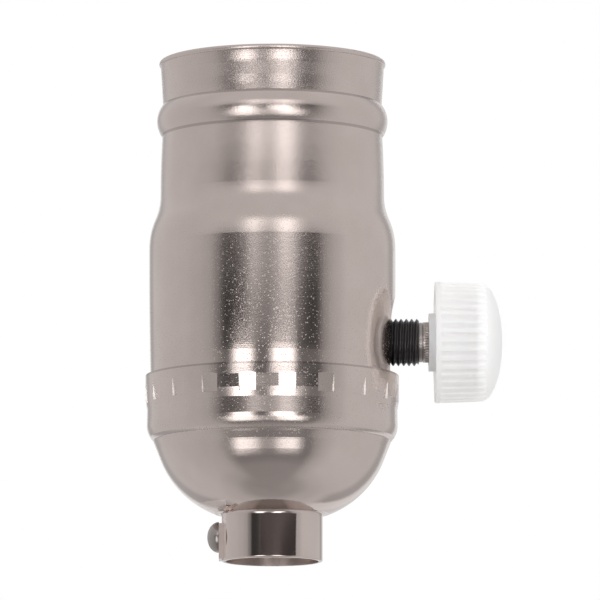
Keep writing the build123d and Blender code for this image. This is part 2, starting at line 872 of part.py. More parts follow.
# Triac: three leads, moulded body, metal tab with its hole
triac_plane = Plane.YZ.offset(component_x)
with BuildPart() as triac:
    with BuildSketch(triac_plane.offset(triac_tab_overhang)):
        with Locations((-component_y, board_top_z + triac_lead)):
            Rectangle(triac_width, triac_body, align=(Align.CENTER, Align.MIN))
    extrude(amount=-triac_depth)
    with BuildSketch(triac_plane.offset(triac_tab_overhang)):
        with Locations((-component_y, board_top_z + triac_lead)):
            Rectangle(triac_width, triac_body + triac_tab, align=(Align.CENTER, Align.MIN))
        with Locations((-component_y, board_top_z + triac_lead + triac_body + 0.5 * triac_tab)):
            Circle(0.3 * triac_tab, mode=Mode.SUBTRACT)
    extrude(amount=-triac_tab_thickness)
    with BuildSketch(triac_plane):
        with GridLocations(lead_pitch, 0, 3, 1):
            with Locations((-component_y, board_top_z)):
                Rectangle(lead_width, triac_lead + weld, align=(Align.CENTER, Align.MIN))
    extrude(amount=-lead_thickness)
triac.part.label = "triac"
export_step(triac.part, "parts/triac.step")

with BuildPart() as capacitor:
    with BuildSketch(Plane.XY.offset(board_top_z)):
        with Locations((component_x - lead_thickness, component_y)):
            RectangleRounded(capacitor_depth, triac_width, capacitor_corner)
    extrude(amount=capacitor_height)
    fillet(capacitor.edges().group_by(Axis.Z)[-1], radius=0.8 * capacitor_corner)
capacitor.part.label = "capacitor"
export_step(capacitor.part, "parts/capacitor.step")

# Choke: winding between the two flanges of a drum core
with BuildPart() as choke:
    with BuildSketch(Plane.XY.offset(board_top_z)):
        with Locations((choke_x, 0)):
            Circle(choke_radius)
    extrude(amount=choke_flange)
    with BuildSketch(Plane.XY.offset(board_top_z + choke_height - choke_flange)):
        with Locations((choke_x, 0)):
            Circle(choke_radius)
    extrude(amount=choke_flange)
    with BuildSketch(Plane.XY.offset(board_top_z)):
        with Locations((choke_x, 0)):
            Circle(choke_radius - choke_winding_inset)
    extrude(amount=choke_height)
choke.part.label = "choke"
export_step(choke.part, "parts/choke.step")


# Two-lead component lying along Y on the board, its leads bent down to it
def axial_component(x, radius, length):
    centre_z = board_top_z + radius + sheet_gap
    leg_y = 0.5 * length + axial_lead_reach - 2 * axial_lead_radius
    with BuildPart() as component:
        with BuildSketch(Plane.XZ.offset(-0.5 * length)):
            with Locations((x, centre_z)):
                Circle(radius)
        extrude(amount=length)
        with BuildSketch(Plane.XZ.offset(-0.5 * length - axial_lead_reach)):
            with Locations((x, centre_z)):
                Circle(axial_lead_radius)
        extrude(amount=length + 2 * axial_lead_reach)
        with BuildSketch(Plane.XY.offset(board_top_z)):
            with Locations((x, leg_y), (x, -leg_y)):
                Circle(0.8 * axial_lead_radius)
        extrude(amount=centre_z - board_top_z)
    return component.part


resistor = axial_component(
    0.5 * (switch_back_x + pot_back_x),
    resistor_radius,
    resistor_length,
)
resistor.label = "resistor"
export_step(resistor, "parts/resistor.step")

diac = axial_component(wafer_x + 2 * diac_radius, diac_radius, diac_length)
diac.label = "diac"
export_step(diac, "parts/diac.step")

# Line terminal: plate on the case's left flat, tail through the wall onto the board
with BuildPart() as line_terminal:
    with BuildSketch(Plane.XZ.offset(-case_side_y)):
        with Locations((0, terminal_z)):
            Rectangle(terminal_width, terminal_height, align=(Align.CENTER, Align.MIN))
        with Locations((0, board_top_z)):
            Rectangle(tail_width, terminal_height, align=(Align.CENTER, Align.MIN))
        with Locations((0, terminal_screw_z)):
            Circle(terminal_screw_radius + fit_gap, mode=Mode.SUBTRACT)
    extrude(amount=-strip)
    with BuildSketch(Plane.XY.offset(board_top_z)):
        with Locations((0, case_side_y + strip)):
            Rectangle(
                tail_width,
                case_wall + strip + tail_reach,
                align=(Align.CENTER, Align.MAX),
            )
    extrude(amount=strip)
line_terminal.part.label = "line_terminal"
export_step(line_terminal.part, "parts/line_terminal.step")

# Neutral terminal: plate on the other flat, strap up to a foot under the screw shell
with BuildPart() as neutral_terminal:
    with BuildSketch(Plane.XZ.offset(case_side_y)):
        with Locations((0, terminal_z)):
            Rectangle(terminal_width, terminal_height, align=(Align.CENTER, Align.MIN))
            Rectangle(strap_width, body_top_z - terminal_z, align=(Align.CENTER, Align.MIN))
        with Locations((0, terminal_screw_z)):
            Circle(terminal_screw_radius + fit_gap, mode=Mode.SUBTRACT)
    extrude(amount=strip)
    with BuildSketch(Plane.XY.offset(body_top_z)):
        with Locations((0, -case_side_y - strip)):
            Rectangle(strap_width, strap_foot, align=(Align.CENTER, Align.MIN))
        with Locations((0, -shell_rivet_y)):
            Circle(rivet_radius + fit_gap, mode=Mode.SUBTRACT)
    extrude(amount=-strip)
neutral_terminal.part.label = "neutral_terminal"
export_step(neutral_terminal.part, "parts/neutral_terminal.step")


# Binding screw of a terminal; side is +1 at the line side and -1 at the neutral side.
def terminal_screw(side):
    seat = Plane(
        origin=(0, side * (case_side_y + strip), terminal_screw_z),
        x_dir=(1, 0, 0),
        z_dir=(0, side, 0),
    )
    with BuildPart() as screw:
        with BuildSketch(seat):
            Circle(terminal_head_radius)
        extrude(amount=terminal_head_height)
        fillet(screw.edges().group_by(Axis.Y)[0 if side < 0 else -1], radius=0.7)
        with BuildSketch(seat.offset(terminal_head_height - driver_slot_depth)):
            Rectangle(3 * terminal_head_radius, driver_slot_width)
        extrude(amount=terminal_head_height, mode=Mode.SUBTRACT)
        with BuildSketch(seat):
            Circle(terminal_screw_radius)
        extrude(amount=-(strip + 0.8 * case_wall))
    return screw.part


line_screw = terminal_screw(1)
line_screw.label = "line_screw"
export_step(line_screw, "parts/line_screw.step")

neutral_screw = terminal_screw(-1)
neutral_screw.label = "neutral_screw"
export_step(neutral_screw, "parts/neutral_screw.step")

# Load strap: up from the board, then under the case's ceiling to the contact's rivet
with BuildPart() as load_strap:
    with BuildSketch(Plane.YZ.offset(load_strap_x)):
        with Locations((0, board_top_z)):
            Rectangle(strap_width, case_ceiling_z - board_top_z, align=(Align.CENTER, Align.MIN))
    extrude(amount=contact_thickness)
    with BuildSketch(Plane.XY.offset(case_ceiling_z)):
        with Locations((load_strap_x, 0)):
            Rectangle(
                load_strap_x - contact_rivet_x + rivet_head_radius,
                strap_width,
                align=(Align.MAX, Align.CENTER),
            )
        with Locations((contact_rivet_x, 0)):
            Circle(rivet_radius + fit_gap, mode=Mode.SUBTRACT)
    extrude(amount=-contact_thickness)
load_strap.part.label = "load_strap"
export_step(load_strap.part, "parts/load_strap.step")

# Socket body: floor disc, raised rim, recesses for the strap, the rivets and the screws
with BuildPart() as socket_body:
    with BuildSketch(Plane.XY.offset(case_top_z)):
        Circle(case_radius)
    extrude(amount=body_rim_z - case_top_z)
    fillet(socket_body.edges().group_by(Axis.Z)[-1], radius=0.5)
    with BuildSketch(Plane.XY.offset(body_top_z)):
        Circle(case_radius - body_rim_wall)
    extrude(amount=body_rim_z, mode=Mode.SUBTRACT)
    with BuildSketch(Plane.XY.offset(case_top_z)):
        with Locations((contact_rivet_x, 0), (0, shell_rivet_y), (0, -shell_rivet_y)):
            Circle(rivet_radius + fit_gap)
        with Locations((0, -case_side_y + sheet_gap)):
            Rectangle(
                strap_width + 2 * sheet_gap,
                strip + 2 * sheet_gap,
                align=(Align.CENTER, Align.MAX),
            )
    extrude(amount=body_floor, mode=Mode.SUBTRACT)
    with BuildSketch(Plane.XY.offset(case_top_z)):
        with Locations((0, shell_rivet_y), (0, -shell_rivet_y)):
            Circle(rivet_head_radius + 2 * sheet_gap)
    extrude(amount=rivet_head_height + rivet_sink, mode=Mode.SUBTRACT)
    with BuildSketch(Plane.XY.offset(case_top_z)):
        with Locations(*pillar_spots):
            Circle(case_screw_radius + fit_gap)
    extrude(amount=screw_tip_z - case_top_z + 2 * sheet_gap, mode=Mode.SUBTRACT)
    with BuildSketch(Plane.XY.offset(body_top_z)):
        with Locations((0, -case_side_y - strip - sheet_gap)):
            Rectangle(
                strap_width + 2 * sheet_gap,
                strap_foot + 2 * sheet_gap,
                align=(Align.CENTER, Align.MIN),
            )
    extrude(amount=-strip, mode=Mode.SUBTRACT)
socket_body.part.label = "socket_body"
export_step(socket_body.part, "parts/socket_body.step")

# Screw shell: thin tube with a rolled thread, a wider plain collar above it that
# guides the lamp's cap in, and a floor that the rivets hold.
# The ridge rolled out and the groove inside it follow one helix.
screw_shell_height = screw_shell_top_z - body_top_z
thread_room = screw_shell_height - thread_start_rise - thread_end_room
thread_length = int(thread_room / lamp_thread_pitch) * lamp_thread_pitch
thread_start_z = body_top_z + thread_start_rise


# Section of the tube and its collar, `wall` outside the lamp's crest line. The flare
# between them leans at 45 degrees.
def screw_tube_section(wall, floor_z):
    flare_shift = wall * tan(radians(22.5))
    flare_z = collar_z - collar_radius + lamp_crest_radius
    with BuildSketch(Plane.XZ) as section:
        with BuildLine():
            Polyline(
                (0, floor_z),
                (lamp_crest_radius + wall, floor_z),
                (lamp_crest_radius + wall, flare_z - flare_shift),
                (collar_radius + wall, collar_z - flare_shift),
                (collar_radius + wall, screw_shell_top_z),
                (0, screw_shell_top_z),
                close=True,
            )
        make_face()
    return section.sketch


# Half-ring section of the thread, `wall` outside the lamp's own thread form
def thread_section(wall, sink):
    mouth_radius = lamp_crest_radius + groove_mouth_lip + wall
    base = 0.5 * lamp_groove_width + wall
    crest = groove_floor_share * base
    with BuildSketch(Plane.XZ) as section:
        with BuildLine():
            Polyline(
                (lamp_crest_radius - sink, thread_start_z - base),
                (mouth_radius, thread_start_z - base),
                (lamp_thread_radius + wall, thread_start_z - crest),
                (lamp_thread_radius + wall, thread_start_z + crest),
                (mouth_radius, thread_start_z + base),
                (lamp_crest_radius - sink, thread_start_z + base),
                close=True,
            )
        make_face()
    return section.sketch


thread_path = Helix(
    pitch=lamp_thread_pitch,
    height=thread_length,
    radius=lamp_crest_radius,
    center=(0, 0, thread_start_z),
)
with BuildPart() as screw_shell:
    revolve(screw_tube_section(screw_sheet, body_top_z), axis=Axis.Z)
    sweep(thread_section(screw_sheet, 0.5 * screw_sheet), path=thread_path, is_frenet=True)
    revolve(
        screw_tube_section(0, body_top_z + screw_sheet),
        axis=Axis.Z,
        mode=Mode.SUBTRACT,
    )
    sweep(
        thread_section(0, lamp_thread_depth),
        path=thread_path,
        is_frenet=True,
        mode=Mode.SUBTRACT,
    )
    with BuildSketch(Plane.XY.offset(body_top_z)):
        Circle(shell_floor_radius)
        with Locations((0, shell_rivet_y), (0, -shell_rivet_y)):
            Circle(rivet_radius + fit_gap)
    extrude(amount=screw_sheet, mode=Mode.SUBTRACT)
screw_shell.part.label = "screw_shell"
export_step(screw_shell.part, "parts/screw_shell.step")

# Centre contact: strip riveted at one end, sprung up under the lamp
contact_tail_x = contact_rivet_x - rivet_head_radius - rivet_sink
with BuildPart() as center_contact:
    with BuildSketch(Plane.XZ):
        with BuildLine():
            FilletPolyline(
                (contact_tail_x, body_top_z),
                (contact_rivet_x + contact_heel, body_top_z),
                (contact_crown_x, body_top_z + contact_lift),
                (contact_tip_x, body_top_z + 0.55 * contact_lift),
                radius=contact_bend,
            )
            offset(amount=contact_thickness, side=Side.LEFT)
        make_face()
    extrude(amount=0.5 * contact_width, both=True)
    with BuildSketch(Plane.XY.offset(body_top_z)):
        with Locations((contact_rivet_x, 0)):
            Circle(rivet_radius + fit_gap)
    extrude(amount=contact_thickness, mode=Mode.SUBTRACT)
center_contact.part.label = "center_contact"
export_step(center_contact.part, "parts/center_contact.step")

# Rivet of the centre contact, through socket body and case to the load strap
with BuildPart() as contact_rivet:
    with BuildSketch(Plane.XY.offset(body_top_z + contact_thickness)):
        with Locations((contact_rivet_x, 0)):
            Circle(rivet_head_radius)
    extrude(amount=rivet_head_height)
    fillet(contact_rivet.edges().group_by(Axis.Z)[-1], radius=rivet_head_edge)
    with BuildSketch(Plane.XY.offset(case_ceiling_z - contact_thickness)):
        with Locations((contact_rivet_x, 0)):
            Circle(rivet_radius)
    extrude(amount=body_top_z + 2 * contact_thickness - case_ceiling_z)
    with BuildSketch(Plane.XY.offset(case_ceiling_z - contact_thickness)):
        with Locations((contact_rivet_x, 0)):
            Circle(rivet_head_radius)
    extrude(amount=-rivet_head_height)
contact_rivet.part.label = "contact_rivet"
export_step(contact_rivet.part, "parts/contact_rivet.step")

# Two rivets that hold the screw shell's floor on the socket body
with BuildPart() as shell_rivets:
    with BuildSketch(Plane.XY.offset(body_top_z + screw_sheet)):
        with Locations((0, shell_rivet_y), (0, -shell_rivet_y)):
            Circle(rivet_head_radius)
    extrude(amount=rivet_head_height)
    fillet(shell_rivets.edges().group_by(Axis.Z)[-1], radius=rivet_head_edge)
    with BuildSketch(Plane.XY.offset(case_top_z + rivet_sink)):
        with Locations((0, shell_rivet_y), (0, -shell_rivet_y)):
            Circle(rivet_head_radius)
    extrude(amount=rivet_head_height)
    with BuildSketch(Plane.XY.offset(case_top_z + rivet_sink)):
        with Locations((0, shell_rivet_y), (0, -shell_rivet_y)):
            Circle(rivet_radius)
    extrude(amount=body_floor - rivet_sink + screw_sheet)
shell_rivets.part.label = "shell_rivets"
export_step(shell_rivets.part, "parts/shell_rivets.step")
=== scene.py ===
import json
import math

import bmesh
import bpy
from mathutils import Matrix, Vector


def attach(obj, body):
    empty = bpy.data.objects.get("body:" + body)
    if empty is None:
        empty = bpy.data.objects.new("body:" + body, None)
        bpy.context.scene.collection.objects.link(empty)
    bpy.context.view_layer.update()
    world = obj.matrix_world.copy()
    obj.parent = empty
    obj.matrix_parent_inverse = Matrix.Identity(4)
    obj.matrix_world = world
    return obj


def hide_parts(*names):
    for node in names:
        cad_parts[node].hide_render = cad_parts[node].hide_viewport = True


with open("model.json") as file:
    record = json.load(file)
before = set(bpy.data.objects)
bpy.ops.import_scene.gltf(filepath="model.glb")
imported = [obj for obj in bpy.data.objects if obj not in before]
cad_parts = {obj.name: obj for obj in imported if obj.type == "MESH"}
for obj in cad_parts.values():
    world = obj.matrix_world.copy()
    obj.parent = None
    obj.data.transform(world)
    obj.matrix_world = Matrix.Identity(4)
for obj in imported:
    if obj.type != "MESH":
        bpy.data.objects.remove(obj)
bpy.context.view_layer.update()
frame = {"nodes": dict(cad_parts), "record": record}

MM = 0.001
X_AXIS = (1.0, 0.0, 0.0)
Z_AXIS = (0.0, 0.0, 1.0)

# Sizes of the part that the threads, the knurl and the rolled shell follow, in metres
CONTROL_Z = 33.2 * MM
BUSHING_RADIUS = 3.57 * MM
BUSHING_THREAD_DEPTH = 0.42 * MM
BUSHING_THREAD_PITCH = 0.794 * MM
FLANGE_FRONT_X = 12.0 * MM
FLANGE_BACK_X = 10.9 * MM
FLANGE_RADIUS = 7.5 * MM
BUSHING_END_X = 22.1 * MM
BUSHING_CHAMFER = 0.3 * MM
LEAD_IN_GAP = 0.4 * MM
LEAD_IN = 0.8 * MM
JOURNAL_HOLE = 2.35 * MM
SHAFT_JOURNAL = 2.3 * MM
SHAFT_BACK_X = 7.25 * MM
SHAFT_SHOULDER_X = 22.65 * MM
SHAFT_END_X = 31.0 * MM
SHAFT_RADIUS = 3.05 * MM
JOURNAL_CHAMFER = 0.2 * MM
SHOULDER_CHAMFER = 0.08 * MM
SHAFT_CHAMFER = 0.4 * MM
KNURL_START_X = 23.05 * MM
KNURL_DEPTH = 0.13 * MM
KNURL_RUN_IN = 0.06 * MM
SHELL_BOTTOM_Z = 46.0 * MM
SHELL_TOP_Z = 72.0 * MM
COLLAR_RADIUS = 13.8 * MM
COLLAR_Z = 69.6 * MM
LAMP_CREST = 12.2 * MM
LAMP_DEPTH = 1.1 * MM
LAMP_PITCH = 3.629 * MM
LAMP_START_Z = 48.6 * MM
LAMP_END_Z = 66.745 * MM
LAMP_RUN_IN = 0.3 * LAMP_PITCH
LAMP_RUN_OUT = 0.7 * LAMP_PITCH
SCREW_SHEET = 0.3 * MM
FLOOR_HOLE = 6.8 * MM
PIPE_RADIUS = 5.2 * MM
PIPE_CREST = 4.75 * MM
PIPE_PITCH = 0.941 * MM
PIPE_LOW_Z = 1.9 * MM
PIPE_HIGH_Z = 8.2 * MM
PIPE_SUNK = 0.05 * MM
PIPE_CREST_HALF = 0.08 * MM
PIPE_FOOT_HALF = 0.44 * PIPE_PITCH

# The share of a V thread's side that is flat, the count of ridges in the knurl, and the
# rows and steps of the meshes
THREAD_FLAT = 0.14
THREAD_ROWS = 10
KNURL_COUNT = 44
KNURL_STEPS = 8
SHELL_ROWS = 150
PIPE_STEPS = 72
PIPE_END_STEPS = 24
TURNED_STEPS = 120

# Places of the part that its pressed look, its painted highlight and its painted shade lines follow, in
# metres
TOOTH_Z = 25.5 * MM
TOOTH_HALF_HEIGHT = 1.9 * MM
CAP_SKIN_RADIUS = 18.4 * MM
CAP_EDGE_Z = 27.9 * MM
CAP_EDGE_HALF_HEIGHT = 0.18 * MM
SLOT_Z = 35.0 * MM
SLOT_HALF_HEIGHT = 6.5 * MM
SLOT_FACE_X = 16.5 * MM
BEAD_TOP_Z = 69.1 * MM
BEAD_FOOT_Z = 64.5 * MM
BEAD_ROOT_HALF_HEIGHT = 0.2 * MM
COVE_Z = 9.3 * MM
COVE_HALF_HEIGHT = 1.1 * MM
COVE_RADIUS = 7.9 * MM
COVE_HALF_WIDTH = 0.6 * MM
BOSS_X = -6.9 * MM
NECK_TOP_Z = 8.5 * MM
TOP_Z = 80.0 * MM
BORE_REACH = 20.0 * MM
PEBBLE_DEPTH = 0.0065 * MM

# Strengths of the pressed look, of its painted shade lines and painted highlight, and how far aside a
# sheared face looks
SIDEWAYS_FROM = 0.5
SHADE_LINE_SHARE = 0.42
CHEEK_DULLNESS = 0.45
MATT_SHARE = 0.6


# Camera, at the place and with the tilt that fit the photo

CAMERA_PLACE = Vector((0.0, -1.02, -0.098))
CAMERA_PITCH = math.radians(7.686)
CAMERA_YAW = math.radians(0.2353)
CAMERA_SENSOR = 36.0
CAMERA_LENS = 409.1

camera_data = bpy.data.cameras.new("camera")
camera_data.sensor_width = CAMERA_SENSOR
camera_data.lens = CAMERA_LENS
camera_data.clip_start = 0.05
camera_data.clip_end = 20.0
camera = bpy.data.objects.new("camera", camera_data)
bpy.context.scene.collection.objects.link(camera)
camera.location = CAMERA_PLACE
look = Vector((
    math.sin(CAMERA_YAW) * math.cos(CAMERA_PITCH),
    math.cos(CAMERA_YAW) * math.cos(CAMERA_PITCH),
    math.sin(CAMERA_PITCH),
))
camera.rotation_mode = "QUATERNION"
camera.rotation_quaternion = look.to_track_quat("-Z", "Y")
bpy.context.scene.camera = camera
bpy.context.scene.view_settings.view_transform = "Standard"


# Node trees in few words

class Nodes:
    def __init__(self, tree):
        self.tree = tree

    def add(self, kind, **settings):
        node = self.tree.nodes.new("ShaderNode" + kind)
        for key, value in settings.items():
            setattr(node, key, value)
        return node

    def feed(self, socket, value):
        if isinstance(value, bpy.types.NodeSocket):
            self.tree.links.new(value, socket)
        else:
            socket.default_value = value

    def math(self, operation, *values):
        node = self.add("Math", operation=operation)
        for socket, value in zip(node.inputs, values):
            self.feed(socket, value)
        return node.outputs[0]

    def dot(self, vector, axis):
        node = self.add("VectorMath", operation="DOT_PRODUCT")
        self.feed(node.inputs[0], vector)
        self.feed(node.inputs[1], axis)
        return node.outputs["Value"]

    def length(self, vector):
        node = self.add("VectorMath", operation="LENGTH")
        self.feed(node.inputs[0], vector)
        return node.outputs["Value"]

    def stretch(self, vector, scale):
        node = self.add("VectorMath", operation="MULTIPLY")
        self.feed(node.inputs[0], vector)
        self.feed(node.inputs[1], scale)
        return node.outputs[0]

    # A curve of value against place, both as written in stops, with places in order
    def ramp(self, value, low, high, stops, ease="EASE", top=1.0):
        span = self.add("MapRange")
        self.feed(span.inputs["Value"], value)
        self.feed(span.inputs["From Min"], low)
        self.feed(span.inputs["From Max"], high)
        ramp = self.add("ValToRGB")
        ramp.color_ramp.interpolation = ease
        elements = ramp.color_ramp.elements
        elements.remove(elements[1])
        elements[0].position = (stops[0][0] - low) / (high - low)
        for place, _ in stops[1:]:
            elements.new((place - low) / (high - low))
        for element, (_, level) in zip(elements, stops):
            element.color = (level / top, level / top, level / top, 1.0)
        self.feed(ramp.inputs[0], span.outputs[0])
        return self.math("MULTIPLY", ramp.outputs[0], top)

    # A curve over a distance in the part, with the places written in millimetres
    def along(self, distance, stops, high=TOP_Z, top=1.0):
        placed = [(place * MM, level) for place, level in stops]
        return self.ramp(distance, 0.0, high, placed, ease="LINEAR", top=top)

    # 1 within `half` of `middle`, and 0 elsewhere
    def near(self, value, middle, half):
        return self.math("COMPARE", value, middle, half)

    def both(self, first, second):
        return self.math("MULTIPLY", first, second)

    def either(self, first, second):
        return self.math("MAXIMUM", first, second)

    def noise(self, vector, scale, detail=2.0, roughness=0.5):
        node = self.add("TexNoise")
        self.feed(node.inputs["Vector"], vector)
        self.feed(node.inputs["Scale"], scale)
        self.feed(node.inputs["Detail"], detail)
        self.feed(node.inputs["Roughness"], roughness)
        return node.outputs[0]

    def mix(self, share, low, high):
        node = self.add("Mix", data_type="RGBA")
        self.feed(node.inputs[0], share)
        self.feed(node.inputs[6], low)
        self.feed(node.inputs[7], high)
        return node.outputs[2]

    def blend(self, share, low, high):
        node = self.add("MixShader")
        self.feed(node.inputs[0], share)
        self.feed(node.inputs[1], low)
        self.feed(node.inputs[2], high)
        return node.outputs[0]

    def bump(self, height, distance, normal=None):
        node = self.add("Bump")
        self.feed(node.inputs["Strength"], 1.0)
        self.feed(node.inputs["Distance"], distance)
        self.feed(node.inputs["Height"], height)
        if normal is not None:
            self.feed(node.inputs["Normal"], normal)
        return node.outputs[0]


# Studio: a pale tent all round, with one dark opening in front of the object in
# which soft boxes stand, and a fainter one behind it. Each curve below gives a
# brightness, or a share of it, against the degrees that a mirrored ray rises or turns.
# Matt surfaces get an even white from all round, and the camera sees plain white.

MIRRORED_LIGHT = 0.77
SOFT_LIGHT = 0.86
OPENING_TURN = math.radians(-4.7)
WHITE = (1.0, 1.0, 1.0, 1.0)

world = bpy.data.worlds.new("studio")
bpy.context.scene.world = world
world.use_nodes = True
world.node_tree.nodes.clear()
sky = Nodes(world.node_tree)
ray = sky.add("TexCoord").outputs["Generated"]
ahead = (math.sin(OPENING_TURN), -math.cos(OPENING_TURN), 0.0)
aside = (math.cos(OPENING_TURN), math.sin(OPENING_TURN), 0.0)
turn = sky.math("DEGREES", sky.math("ARCTAN2", sky.dot(ray, aside), sky.dot(ray, ahead)))
off = sky.math("ABSOLUTE", turn)
rise = sky.math("DEGREES", sky.math("ARCSINE", sky.dot(ray, Z_AXIS)))

dark = sky.ramp(rise, -90, 90, [
    (-90, 0.52), (-56, 0.52), (-50, 0.42), (-44, 0.36), (-38, 0.33), (0, 0.32), (4.5, 0.07),
    (7, 0.08), (8, 0.12), (8.8, 0.32), (11.5, 0.55), (14.5, 0.85), (28, 0.95), (36, 1.0),
], ease="LINEAR")
low_lamps = sky.ramp(rise, -90, 90, [
    (-20, 0.0), (-14, 3.2), (2.6, 3.2), (3.6, 0.0),
], ease="LINEAR", top=4.0)
low_across = sky.ramp(turn, -180, 180, [
    (-37, 0.0), (-26, 1.0), (-19, 1.0), (-9, 0.0), (0, 0.0), (10, 1.0), (21, 1.0), (30, 0.0),
])
foot_lamps = sky.ramp(rise, -90, 90, [(-44, 0.0), (-33, 2.5), (-21, 2.5), (-9, 0.0)], top=4.0)
foot_across = sky.ramp(turn, -180, 180, [
    (-46, 0.0), (-30, 1.0), (-18, 0.9), (-5, 0.2), (4, 0.2), (16, 0.9), (27, 1.0), (42, 0.0),
])
left_up = sky.ramp(rise, -90, 90, [
    (3.7, 0.0), (4.1, 0.12), (5.3, 0.22), (6.1, 0.3), (7.2, 0.34), (7.9, 0.42), (8.8, 0.85),
    (11.5, 0.9), (14.5, 1.2), (28, 1.3), (34, 0.0),
], ease="LINEAR", top=4.0)
left_across = sky.ramp(turn, -180, 180, [
    (-34, 0.0), (-27, 0.1), (-21, 0.45), (-15, 0.9), (-10, 0.75), (-4, 0.2), (3, 0.0),
])
middle_up = sky.ramp(rise, -90, 90, [
    (3.7, 0.0), (4.1, 0.15), (5.3, 0.38), (6.8, 0.45), (8, 0.48), (8.8, 0.45), (11.5, 0.25),
    (28, 0.3), (34, 0.0),
], ease="LINEAR", top=4.0)
middle_across = sky.ramp(turn, -180, 180, [
    (-22, 0.0), (-11, 0.85), (-4, 1.0), (4, 1.0), (16, 0.0),
])
right_up = sky.ramp(rise, -90, 90, [
    (3.7, 0.0), (4.1, 0.2), (5.0, 0.45), (5.7, 0.75), (6.8, 0.95), (7.6, 1.15), (8.2, 1.25),
    (8.8, 1.5), (14.5, 1.6), (28, 1.6), (34, 0.0),
], ease="LINEAR", top=4.0)
right_across = sky.ramp(turn, -180, 180, [
    (2, 0.0), (8, 0.25), (14, 0.95), (18, 1.0), (23, 0.85), (28, 0.45), (33, 0.15), (40, 0.0),
])
front_across = sky.ramp(turn, -180, 180, [
    (-85, 0.0), (-70, 0.1), (-57, 0.26), (-48, 0.62), (-41, 1.0), (47, 1.0), (55, 0.5), (65, 0.2),
    (80, 0.0),
])
front_up = sky.ramp(rise, -90, 90, [(-90, 1.0), (27, 1.0), (36, 0.0)])

opening = dark
for level, across in (
    (low_lamps, low_across), (foot_lamps, foot_across), (left_up, left_across),
    (middle_up, middle_across), (right_up, right_across),
):
    opening = sky.math("ADD", opening, sky.both(level, across))
below = sky.ramp(rise, -90, 90, [
    (-90, 0.52), (-76, 0.58), (-62, 0.84), (-50, 0.94), (-20, 0.98), (40, 1.0),
])
drift = sky.ramp(turn, -180, 180, [
    (-180, 0.97), (-120, 1.0), (-75, 0.92), (-55, 0.97), (55, 1.0), (90, 1.04), (180, 0.97),
], top=2.0)
rear = sky.ramp(off, 0, 180, [
    (0, 1.0), (140, 1.0), (150, 0.72), (158, 0.68), (163, 1.25), (170, 1.25), (175, 1.05),
    (180, 1.05),
], top=2.0)
rear_up = sky.ramp(rise, -90, 90, [(-52, 0.0), (-40, 1.0), (44, 1.0), (54, 0.0)])
tent = sky.both(below, drift)
tent = sky.mix(rear_up, tent, sky.both(tent, rear))
studio = sky.mix(sky.both(front_across, front_up), tent, opening)


def background(colour, strength):
    node = sky.add("Background")
    sky.feed(node.inputs["Color"], colour)
    sky.feed(node.inputs["Strength"], strength)
    return node.outputs[0]


ray_kind = sky.add("LightPath").outputs
not_mirrored = sky.math("SUBTRACT", 1.0, ray_kind["Is Glossy Ray"])
clear_ray = sky.both(ray_kind["Is Transmission Ray"], not_mirrored)
clear_ray = sky.either(ray_kind["Is Camera Ray"], clear_ray)
matt_side = background(WHITE, SOFT_LIGHT)
mirrored_side = background(studio, MIRRORED_LIGHT)
surroundings = sky.blend(ray_kind["Is Glossy Ray"], matt_side, mirrored_side)
surroundings = sky.blend(clear_ray, surroundings, background(WHITE, 1.0))
sky.feed(sky.add("OutputWorld").inputs[0], surroundings)


# Soft lamps, which only the diffuse surfaces see: the studio above is the mirrored light

SOFT_LAMP_SIZE = 0.5
SOFT_LAMP_AIM = Vector((0.0, 0.0, 0.04))


def soft_lamp(name, place, power):
    data = bpy.data.lights.new(name, "AREA")
    data.shape = "DISK"
    data.size = SOFT_LAMP_SIZE
    data.energy = power
    lamp = bpy.data.objects.new(name, data)
    bpy.context.scene.collection.objects.link(lamp)
    lamp.location = place
    aim = SOFT_LAMP_AIM - Vector(place)
    lamp.rotation_mode = "QUATERNION"
    lamp.rotation_quaternion = aim.to_track_quat("-Z", "Y")
    lamp.visible_glossy = False


soft_lamp("lamp_left", (-0.7, -0.8, 0.75), 3.0)
soft_lamp("lamp_front", (-0.3, -1.0, 0.05), 6.0)
soft_lamp("lamp_right", (0.85, -0.75, 0.1), 0.1)
soft_lamp("lamp_back", (0.2, 0.9, 0.7), 2.0)


# Floor: pale, holds the object's shadow, is not mirrored, fades out with the distance, and
# is open to what looks up from below it

FLOOR_SIDES = 96
FLOOR_REACH = 0.9


# A mesh that is in the renders only, and the empty node tree of its look
def staged(name, verts, faces):
    mesh = bpy.data.meshes.new(name)
    mesh.from_pydata(verts, [], faces)
    thing = bpy.data.objects.new(name, mesh)
    bpy.context.scene.collection.objects.link(thing)
    look = bpy.data.materials.new(name)
    look.use_nodes = True
    look.node_tree.nodes.clear()
    mesh.materials.append(look)
    return thing, Nodes(look.node_tree)


floor_verts = []
for i in range(FLOOR_SIDES):
    angle = 2 * math.pi * i / FLOOR_SIDES
    floor_verts.append((FLOOR_REACH * math.cos(angle), FLOOR_REACH * math.sin(angle), 0.0))
floor, ground = staged("floor", floor_verts, [tuple(range(FLOOR_SIDES))])
floor_place = ground.add("TexCoord").outputs["Object"]
fade = ground.ramp(ground.length(floor_place), 0.0, 1.0, [(0.10, 0.0), (0.5, 1.0)])
cloth = ground.add("BsdfDiffuse")
cloth_tone = ground.mix(ground.noise(floor_place, 60.0), (0.86, 0.86, 0.86, 1), (0.89, 0.89, 0.89, 1))
ground.feed(cloth.inputs["Color"], cloth_tone)
floor_ray = ground.add("LightPath").outputs
under = ground.add("NewGeometry").outputs["Backfacing"]
faded = ground.both(floor_ray["Is Camera Ray"], fade)
gone = ground.either(ground.either(under, floor_ray["Is Glossy Ray"]), faded)
floor_cover = ground.blend(gone, cloth.outputs[0], ground.add("BsdfTransparent").outputs[0])
ground.feed(ground.add("OutputMaterial").inputs[0], floor_cover)


# Dark card low in front, which only the neck mirrors: it is open to what looks down on it

